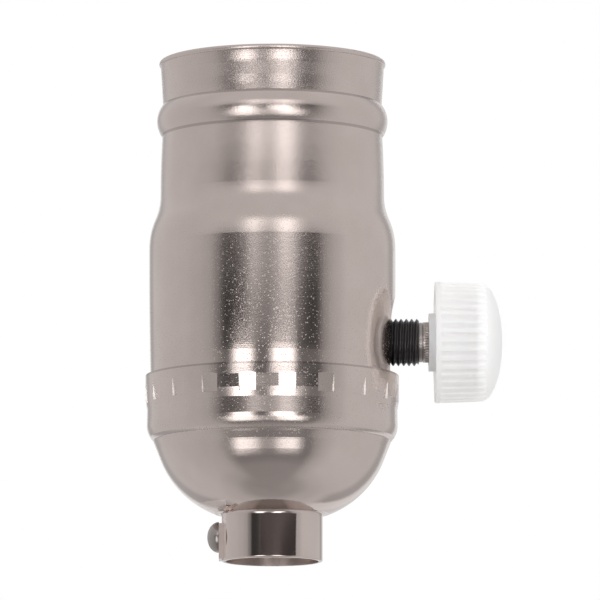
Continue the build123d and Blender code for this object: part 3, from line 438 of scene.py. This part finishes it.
CARD_Z = 12.0 * MM
CARD_STEPS = 40
CARD_FIRST_TURN = -21.0
CARD_SPAN = 79.5
CARD_NEAR = 0.04
CARD_FAR = 0.15

card_verts = []
for i in range(CARD_STEPS + 1):
    angle = math.radians(CARD_FIRST_TURN + CARD_SPAN * i / CARD_STEPS) + OPENING_TURN
    for distance in (CARD_NEAR, CARD_FAR):
        card_verts.append((distance * math.sin(angle), -distance * math.cos(angle), CARD_Z))
card_faces = [(2 * i, 2 * i + 1, 2 * i + 3, 2 * i + 2) for i in range(CARD_STEPS)]
card, sheet = staged("card", card_verts, card_faces)
across_card = sheet.dot(sheet.add("TexCoord").outputs["Object"], X_AXIS)
shine = sheet.add("Emission")
sheet.feed(shine.inputs["Color"], (1.0, 0.9, 0.9, 1.0))
sheet.feed(shine.inputs["Strength"], sheet.ramp(across_card, -0.1, 0.1, [
    (-0.06, 0.08), (-0.01, 0.13), (0.02, 0.15), (0.06, 0.08), (0.09, 0.06),
]))
from_below = sheet.add("NewGeometry").outputs["Backfacing"]
card_cover = sheet.blend(from_below, sheet.add("BsdfTransparent").outputs[0], shine.outputs[0])
sheet.feed(sheet.add("OutputMaterial").inputs[0], card_cover)
card.visible_camera = False
card.visible_diffuse = False
card.visible_transmission = False
card.visible_shadow = False


# Finishes

def finish(name):
    material = bpy.data.materials.new(name)
    material.use_nodes = True
    nodes = Nodes(material.node_tree)
    shader = material.node_tree.nodes["Principled BSDF"]
    return material, nodes, shader


# Rolled and polished plate: draw marks along Z, fine turning lines round it, a slightly
# uneven skin and small dull spots. `marks`, `turning` and `skin` are depths in metres.
def plated(name, colour, shade, roughness, spread, marks, skin, turning, spots=0.0, pressed_and_painted=False):
    material, n, shader = finish(name)
    place = n.add("TexCoord").outputs["Object"]
    cloud = n.noise(place, 160.0, detail=3.0)
    grain = n.noise(n.stretch(place, (2600.0, 2600.0, 90.0)), 1.0, detail=2.0)
    lines = n.noise(n.stretch(place, (60.0, 60.0, 5200.0)), 1.0, detail=1.0)
    uneven = n.noise(place, 1700.0, detail=1.0)
    tone = n.mix(n.ramp(cloud, 0.0, 1.0, [(0.3, 0.0), (0.7, 1.0)]), shade, colour)
    dull = n.math("ADD", roughness, n.math("MULTIPLY", cloud, spread))
    normal = n.bump(grain, marks)
    normal = n.bump(lines, turning, normal)
    normal = n.bump(uneven, skin, normal)
    if spots:
        spotted = n.ramp(n.dot(place, Z_AXIS), 0.0, TOP_Z, [
            (0.0, 0.0), (0.012, 0.0), (0.02, 0.8), (0.03, 1.0), (0.048, 0.8), (0.055, 0.5), (0.08, 0.5),
        ])
        # Only some cells hold a spot: a size below nothing leaves the cell clean
        for scale, largest in ((1500.0, 0.18), (3600.0, 0.42)):
            cell = n.add("TexVoronoi")
            n.feed(cell.inputs["Vector"], place)
            cell.inputs["Scale"].default_value = scale
            chance = n.dot(cell.outputs["Color"], X_AXIS)
            size = n.math("SUBTRACT", n.math("MULTIPLY", chance, 1.6 * largest), 0.6 * largest)
            inside = n.both(n.math("LESS_THAN", cell.outputs["Distance"], size), spotted)
            dull = n.math("ADD", dull, n.math("MULTIPLY", inside, spots))
    metal = 1.0
    if pressed_and_painted:
        tone, dull, metal, normal = press_marks_and_painted_light(n, place, tone, dull, normal)
    n.feed(shader.inputs["Base Color"], tone)
    n.feed(shader.inputs["Metallic"], metal)
    n.feed(shader.inputs["Roughness"], dull)
    n.feed(shader.inputs["Normal"], normal)
    return material


# What the press and the shears leave on the shell, the cap and the neck, with painted light: a pebbled
# and duller skin up at the worn rim, a dull bore in the neck, tight bends beside the crease, under
# the cap's edge and at the rim, duller sheared cheeks at the snap teeth and the slot with a painted
# highlight on them, painted shade as thin dark lines at the bead's roots and the cap's edge, and
# matt metal on the screw boss and in the cove where the neck meets the dome
def press_marks_and_painted_light(n, place, tone, dull, normal):
    height = n.dot(place, Z_AXIS)
    side = n.dot(place, X_AXIS)
    flat = n.stretch(place, (1.0, 1.0, 0.0))
    radius = n.length(flat)
    in_skin = n.math("GREATER_THAN", radius, CAP_SKIN_RADIUS)

    dull = n.math("ADD", dull, n.along(height, [
        (0, 0.0), (8, 0.0), (9, 0.07), (19, 0.09), (21, 0.04), (24, 0.06), (32, 0.06),
        (36, 0.02), (46, 0.0), (55, 0.03), (66, 0.04), (69, 0.06), (71, 0.12), (80, 0.12),
    ]))
    bore = n.along(radius, [(0, 0.35), (6.9, 0.35), (7.2, 0.0)], high=BORE_REACH)
    dull = n.math("ADD", dull, bore)

    pebbles = n.noise(place, 5200.0, detail=3.0, roughness=0.7)
    coarse = n.along(height, [
        (0, 0.4), (8.5, 0.4), (12, 1.0), (30, 0.9), (38, 1.1), (46, 1.3), (55, 3.0), (80, 3.2),
    ], top=4.0)
    normal = n.bump(n.math("MULTIPLY", pebbles, coarse), PEBBLE_DEPTH, normal)
    bends = n.along(height, [
        (0, 0.2), (16.8, 0.2), (17.9, 0.29), (18.1, 0.29), (18.7, 0.59), (26.2, 0.59),
        (27.3, 0.64), (28.3, 0.69), (29.2, 0.73), (30.0, 0.76), (30.8, 0.77), (58.5, 0.77),
        (61.0, 0.745), (64.0, 0.685), (67.5, 0.685), (70.2, 0.565), (71.6, 0.56),
        (73.6, 0.47), (74.8, 0.54), (75.5, 0.55),
    ])
    normal = n.bump(bends, MM, normal)

    axis = n.add("VectorMath", operation="CROSS_PRODUCT")
    n.feed(axis.inputs[0], n.add("NewGeometry").outputs["True Normal"])
    n.feed(axis.inputs[1], flat)
    cross = n.math("ABSOLUTE", n.dot(axis.outputs[0], Z_AXIS))
    sideways = n.math("GREATER_THAN", n.math("DIVIDE", cross, radius), SIDEWAYS_FROM)
    teeth = n.both(n.near(height, TOOTH_Z, TOOTH_HALF_HEIGHT), in_skin)
    slot = n.both(n.near(height, SLOT_Z, SLOT_HALF_HEIGHT), n.math("GREATER_THAN", side, SLOT_FACE_X))
    cheek_highlight = n.both(sideways, n.either(teeth, slot))

    # Painted shade: thin dark lines in the creases at the bead's roots and at the cap's edge
    edge = n.both(n.near(height, CAP_EDGE_Z, CAP_EDGE_HALF_HEIGHT), in_skin)
    root_above = n.near(height, BEAD_TOP_Z, BEAD_ROOT_HALF_HEIGHT)
    root_below = n.near(height, BEAD_FOOT_Z, BEAD_ROOT_HALF_HEIGHT)
    lines = n.either(n.either(root_above, root_below), edge)
    tone = n.mix(n.math("MULTIPLY", lines, SHADE_LINE_SHARE), tone, (0.2, 0.16, 0.15, 1))
    # Painted highlight: the sheared cheeks at the teeth and the slot are made duller and matt and painted
    # near-white
    tone = n.mix(cheek_highlight, tone, (0.93, 0.9, 0.88, 1))
    dull = n.math("ADD", dull, n.math("MULTIPLY", cheek_highlight, CHEEK_DULLNESS))

    cove = n.near(height, COVE_Z, COVE_HALF_HEIGHT)
    cove = n.both(cove, n.near(radius, COVE_RADIUS, COVE_HALF_WIDTH))
    boss = n.both(n.math("LESS_THAN", side, BOSS_X), n.math("LESS_THAN", height, NECK_TOP_Z))
    matt = n.either(cheek_highlight, n.math("MULTIPLY", n.either(cove, boss), MATT_SHARE))
    return tone, dull, n.math("SUBTRACT", 1.0, matt), normal


# Moulded or blackened surface with a fine texture, `depth` metres deep
def moulded(name, colour, shade, roughness, texture, depth, gloss=0.5):
    material, n, shader = finish(name)
    place = n.add("TexCoord").outputs["Object"]
    fine = n.noise(place, texture, detail=3.0)
    broad = n.noise(place, 120.0, detail=2.0)
    n.feed(shader.inputs["Base Color"], n.mix(broad, shade, colour))
    n.feed(shader.inputs["Roughness"], n.math("ADD", roughness, n.math("MULTIPLY", fine, 0.12)))
    n.feed(shader.inputs["Specular IOR Level"], gloss)
    n.feed(shader.inputs["Normal"], n.bump(fine, depth))
    return material


def fibre(name):
    material, n, shader = finish(name)
    place = n.add("TexCoord").outputs["Object"]
    threads = n.noise(n.stretch(place, (900.0, 900.0, 5200.0)), 1.0, detail=4.0, roughness=0.7)
    n.feed(shader.inputs["Base Color"], n.mix(threads, (0.012, 0.011, 0.011, 1), (0.034, 0.031, 0.03, 1)))
    n.feed(shader.inputs["Roughness"], n.math("ADD", 0.62, n.math("MULTIPLY", threads, 0.25)))
    shader.inputs["Specular IOR Level"].default_value = 0.15
    n.feed(shader.inputs["Normal"], n.bump(threads, 0.00003))
    return material


def white_knob(name):
    material, n, shader = finish(name)
    place = n.add("TexCoord").outputs["Object"]
    haze = n.noise(place, 220.0, detail=2.0)
    skin = n.noise(place, 1800.0, detail=2.0)
    n.feed(shader.inputs["Base Color"], n.mix(haze, (0.91, 0.895, 0.88, 1), (0.93, 0.917, 0.903, 1)))
    n.feed(shader.inputs["Roughness"], n.math("ADD", 0.4, n.math("MULTIPLY", skin, 0.1)))
    shader.inputs["Subsurface Weight"].default_value = 0.85
    shader.inputs["Subsurface Radius"].default_value = (1.0, 0.95, 0.9)
    shader.inputs["Subsurface Scale"].default_value = 0.012
    shader.inputs["Specular IOR Level"].default_value = 0.3
    # Painted glow: a faint emission all over the knob stands in for light that comes through the plastic
    shader.inputs["Emission Color"].default_value = (1.0, 0.97, 0.95, 1.0)
    shader.inputs["Emission Strength"].default_value = 0.05
    shader.inputs["IOR"].default_value = 1.49
    n.feed(shader.inputs["Normal"], n.bump(skin, 0.000004))
    return material


LOOKS = {
    "nickel_plate": plated(
        "nickel_plate", (0.595, 0.512, 0.482, 1), (0.565, 0.483, 0.452, 1),
        roughness=0.03, spread=0.02, marks=0.000002, skin=0.000002, turning=0.0000008,
        spots=0.3, pressed_and_painted=True,
    ),
    "screw_steel": plated(
        "screw_steel", (0.42, 0.375, 0.36, 1), (0.3, 0.27, 0.255, 1),
        roughness=0.2, spread=0.1, marks=0.000002, skin=0.000001, turning=0.000001,
    ),
    "shaft_metal": plated(
        "shaft_metal", (0.46, 0.41, 0.39, 1), (0.34, 0.3, 0.28, 1),
        roughness=0.16, spread=0.08, marks=0.000001, skin=0.000001, turning=0.000001,
    ),
    "brass": plated(
        "brass", (0.78, 0.57, 0.27, 1), (0.68, 0.47, 0.2, 1),
        roughness=0.16, spread=0.12, marks=0.000002, skin=0.000001, turning=0.000001,
    ),
    "neutral_plate": plated(
        "neutral_plate", (0.68, 0.67, 0.65, 1), (0.58, 0.57, 0.55, 1),
        roughness=0.22, spread=0.12, marks=0.000002, skin=0.000001, turning=0.000001,
    ),
    "black_metal": moulded(
        "black_metal", (0.022, 0.019, 0.019, 1), (0.012, 0.011, 0.011, 1), 0.28, 2200.0, 0.000006,
        gloss=0.6,
    ),
    "white_plastic": white_knob("white_plastic"),
    "black_fibre": fibre("black_fibre"),
    "dark_phenolic": moulded(
        "dark_phenolic", (0.04, 0.032, 0.028, 1), (0.028, 0.022, 0.02, 1), 0.38, 1600.0, 0.00001,
    ),
    "board_laminate": moulded(
        "board_laminate", (0.45, 0.29, 0.14, 1), (0.36, 0.22, 0.1, 1), 0.5, 1500.0, 0.00001,
    ),
    "component_plastic": moulded(
        "component_plastic", (0.055, 0.055, 0.062, 1), (0.04, 0.04, 0.045, 1), 0.45, 1800.0, 0.00001,
    ),
    "component_ceramic": moulded(
        "component_ceramic", (0.64, 0.5, 0.36, 1), (0.55, 0.42, 0.3, 1), 0.3, 1200.0, 0.000006,
    ),
    "copper_winding": plated(
        "copper_winding", (0.55, 0.24, 0.11, 1), (0.42, 0.17, 0.08, 1),
        roughness=0.25, spread=0.12, marks=0.000001, skin=0.000001, turning=0.00003,
    ),
}
SLOT_OF = {row["node"]: row["material_slot"] for row in frame["record"]["subparts"]}

for node, slot in SLOT_OF.items():
    mesh = frame["nodes"][node].data
    mesh.materials.clear()
    mesh.materials.append(LOOKS[slot])


# Pieces in mesh code. An edge that turns by more than `sharp` degrees stays crisp.

def piece(name, verts, faces, slot, body, sharp, replaced=()):
    mesh = bpy.data.meshes.new(name)
    mesh.from_pydata(verts, [], faces)
    made = bmesh.new()
    made.from_mesh(mesh)
    bmesh.ops.remove_doubles(made, verts=made.verts, dist=1e-7)
    bmesh.ops.recalc_face_normals(made, faces=made.faces)
    made.to_mesh(mesh)
    made.free()
    mesh.shade_smooth()
    mesh.set_sharp_from_angle(angle=math.radians(sharp))
    mesh.materials.append(LOOKS[slot])
    thing = bpy.data.objects.new(name, mesh)
    bpy.context.scene.collection.objects.link(thing)
    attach(thing, body)
    if replaced:
        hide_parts(*replaced)


# A closed ring of stations swept round an axis. `radius_at(station, angle)` and
# `along_at(station, angle)` give each point; `place` puts it in the frame.
def turned(stations, steps, radius_at, along_at, place):
    verts = []
    for i in range(steps):
        angle = 2 * math.pi * i / steps
        for k in range(stations):
            verts.append(place(radius_at(k, angle), along_at(k, angle), angle))
    faces = []
    for i in range(steps):
        j = (i + 1) % steps
        for k in range(stations):
            m = (k + 1) % stations
            faces.append((i * stations + k, j * stations + k, j * stations + m, i * stations + m))
    return verts, faces


def about_x(radius, along, angle):
    return (along, radius * math.sin(angle), CONTROL_Z + radius * math.cos(angle))


def about_z(radius, along, angle):
    return (radius * math.cos(angle), radius * math.sin(angle), along)


# Depth of a V thread at a station: 0 at the crest and 1 at the root, with small flats
def thread_depth(along, angle, pitch):
    share = (along / pitch - angle / (2 * math.pi)) % 1.0
    wave = abs(2.0 * share - 1.0)
    return min(1.0, max(0.0, (wave - THREAD_FLAT) / (1.0 - 2.0 * THREAD_FLAT)))


# Control bushing: its thread, which starts clear of the flange, and the bore behind it
def control_bushing():
    run = BUSHING_END_X - FLANGE_FRONT_X
    count = int(run / (BUSHING_THREAD_PITCH / THREAD_ROWS))
    outside = [FLANGE_FRONT_X + run * k / count for k in range(count + 1)]
    corners = [
        (JOURNAL_HOLE, BUSHING_END_X), (JOURNAL_HOLE, FLANGE_BACK_X),
        (FLANGE_RADIUS, FLANGE_BACK_X), (FLANGE_RADIUS, FLANGE_FRONT_X),
    ]

    def radius_at(k, angle):
        if k > count:
            return corners[k - count - 1][0]
        along = outside[k]
        lead_in = min(1.0, max(0.0, (along - FLANGE_FRONT_X - LEAD_IN_GAP) / LEAD_IN))
        depth = BUSHING_THREAD_DEPTH * lead_in * thread_depth(along, angle, BUSHING_THREAD_PITCH)
        cone = max(0.0, along - (BUSHING_END_X - BUSHING_CHAMFER))
        return min(BUSHING_RADIUS - depth, BUSHING_RADIUS - cone)

    def along_at(k, angle):
        return outside[k] if k <= count else corners[k - count - 1][1]

    stations = len(outside) + len(corners)
    verts, faces = turned(stations, TURNED_STEPS, radius_at, along_at, about_x)
    piece("control_bushing_threaded", verts, faces, "black_metal", "base", 50.0, ["control_bushing"])


# Shaft: each station has its radius, its place along the shaft and, 1 or 0, the knurl
def control_shaft():
    profile = [
        (0.0, SHAFT_BACK_X, 0),
        (SHAFT_JOURNAL - JOURNAL_CHAMFER, SHAFT_BACK_X, 0),
        (SHAFT_JOURNAL, SHAFT_BACK_X + JOURNAL_CHAMFER, 0),
        (SHAFT_JOURNAL, SHAFT_SHOULDER_X, 0),
        (SHAFT_RADIUS - SHOULDER_CHAMFER, SHAFT_SHOULDER_X, 0),
        (SHAFT_RADIUS, SHAFT_SHOULDER_X + SHOULDER_CHAMFER, 0),
        (SHAFT_RADIUS, KNURL_START_X, 0),
        (SHAFT_RADIUS, KNURL_START_X + KNURL_RUN_IN, 1),
        (SHAFT_RADIUS, SHAFT_END_X - SHAFT_CHAMFER, 1),
        (SHAFT_RADIUS - SHAFT_CHAMFER, SHAFT_END_X, 0),
        (0.0, SHAFT_END_X, 0),
    ]

    def radius_at(k, angle):
        radius, _, knurled = profile[k]
        share = (angle * KNURL_COUNT / (2 * math.pi)) % 1.0
        return radius - knurled * KNURL_DEPTH * (1.0 - abs(2.0 * share - 1.0))

    def along_at(k, angle):
        return profile[k][1]

    verts, faces = turned(len(profile), KNURL_COUNT * KNURL_STEPS, radius_at, along_at, about_x)
    piece("control_shaft_knurled", verts, faces, "shaft_metal", "knob", 25.0, ["control_shaft"])


# Screw shell: one sheet rolled to a rounded thread, with its floor and a wider collar
def screw_shell():
    rows = SHELL_ROWS
    height = SHELL_TOP_Z - SHELL_BOTTOM_Z
    flare_z = COLLAR_Z - (COLLAR_RADIUS - LAMP_CREST)

    def roll(along, angle):
        lead = angle / (2 * math.pi) * LAMP_PITCH
        start = LAMP_START_Z - LAMP_RUN_IN + lead
        end = LAMP_END_Z - LAMP_RUN_OUT + lead
        rise_in = min(1.0, max(0.0, (along - start + LAMP_PITCH) / LAMP_PITCH))
        fall_out = min(1.0, max(0.0, (end + LAMP_PITCH - along) / LAMP_PITCH))
        wave = 0.5 + 0.5 * math.cos(2 * math.pi * (along - LAMP_START_Z - lead) / LAMP_PITCH)
        smooth = rise_in * rise_in * (3 - 2 * rise_in) * fall_out * fall_out * (3 - 2 * fall_out)
        collar = min(1.0, max(0.0, (along - flare_z) / (COLLAR_Z - flare_z)))
        return LAMP_DEPTH * wave * smooth + collar * (COLLAR_RADIUS - LAMP_CREST)

    inner = [SHELL_BOTTOM_Z + SCREW_SHEET + (height - SCREW_SHEET) * k / rows for k in range(rows + 1)]
    outer = [SHELL_TOP_Z - height * k / rows for k in range(rows + 1)]

    def radius_at(k, angle):
        if k <= rows:
            return LAMP_CREST + roll(inner[k], angle)
        if k <= 2 * rows + 1:
            return LAMP_CREST + SCREW_SHEET + roll(outer[k - rows - 1], angle)
        return FLOOR_HOLE

    def along_at(k, angle):
        if k <= rows:
            return inner[k]
        if k <= 2 * rows + 1:
            return outer[k - rows - 1]
        return SHELL_BOTTOM_Z if k == 2 * rows + 2 else SHELL_BOTTOM_Z + SCREW_SHEET

    verts, faces = turned(2 * rows + 4, TURNED_STEPS, radius_at, along_at, about_z)
    piece("screw_shell_rolled", verts, faces, "brass", "base", 40.0, ["screw_shell"])


# Pipe thread: one ridge wound up the neck's bore, its root sunk in the wall
def pipe_thread():
    turns = (PIPE_HIGH_Z - PIPE_LOW_Z) / PIPE_PITCH
    steps = int(turns * PIPE_STEPS)
    foot = PIPE_RADIUS + PIPE_SUNK
    section = [
        (foot, -PIPE_FOOT_HALF), (PIPE_CREST, -PIPE_CREST_HALF),
        (PIPE_CREST, PIPE_CREST_HALF), (foot, PIPE_FOOT_HALF),
    ]
    verts = []
    for i in range(steps + 1):
        angle = 2 * math.pi * turns * i / steps
        level = PIPE_LOW_Z + (PIPE_HIGH_Z - PIPE_LOW_Z) * i / steps
        grown = min(1.0, i / PIPE_END_STEPS, (steps - i) / PIPE_END_STEPS)
        for radius, rise_by in section:
            verts.append(about_z(foot - (foot - radius) * grown, level + rise_by, angle))
    faces = []
    for i in range(steps):
        for k in range(4):
            m = (k + 1) % 4
            faces.append((i * 4 + k, (i + 1) * 4 + k, (i + 1) * 4 + m, i * 4 + m))
    faces.append((0, 1, 2, 3))
    faces.append(tuple(steps * 4 + k for k in (3, 2, 1, 0)))
    piece("pipe_thread_ridge", verts, faces, "nickel_plate", "base", 40.0)


control_bushing()
control_shaft()
screw_shell()
pipe_thread()
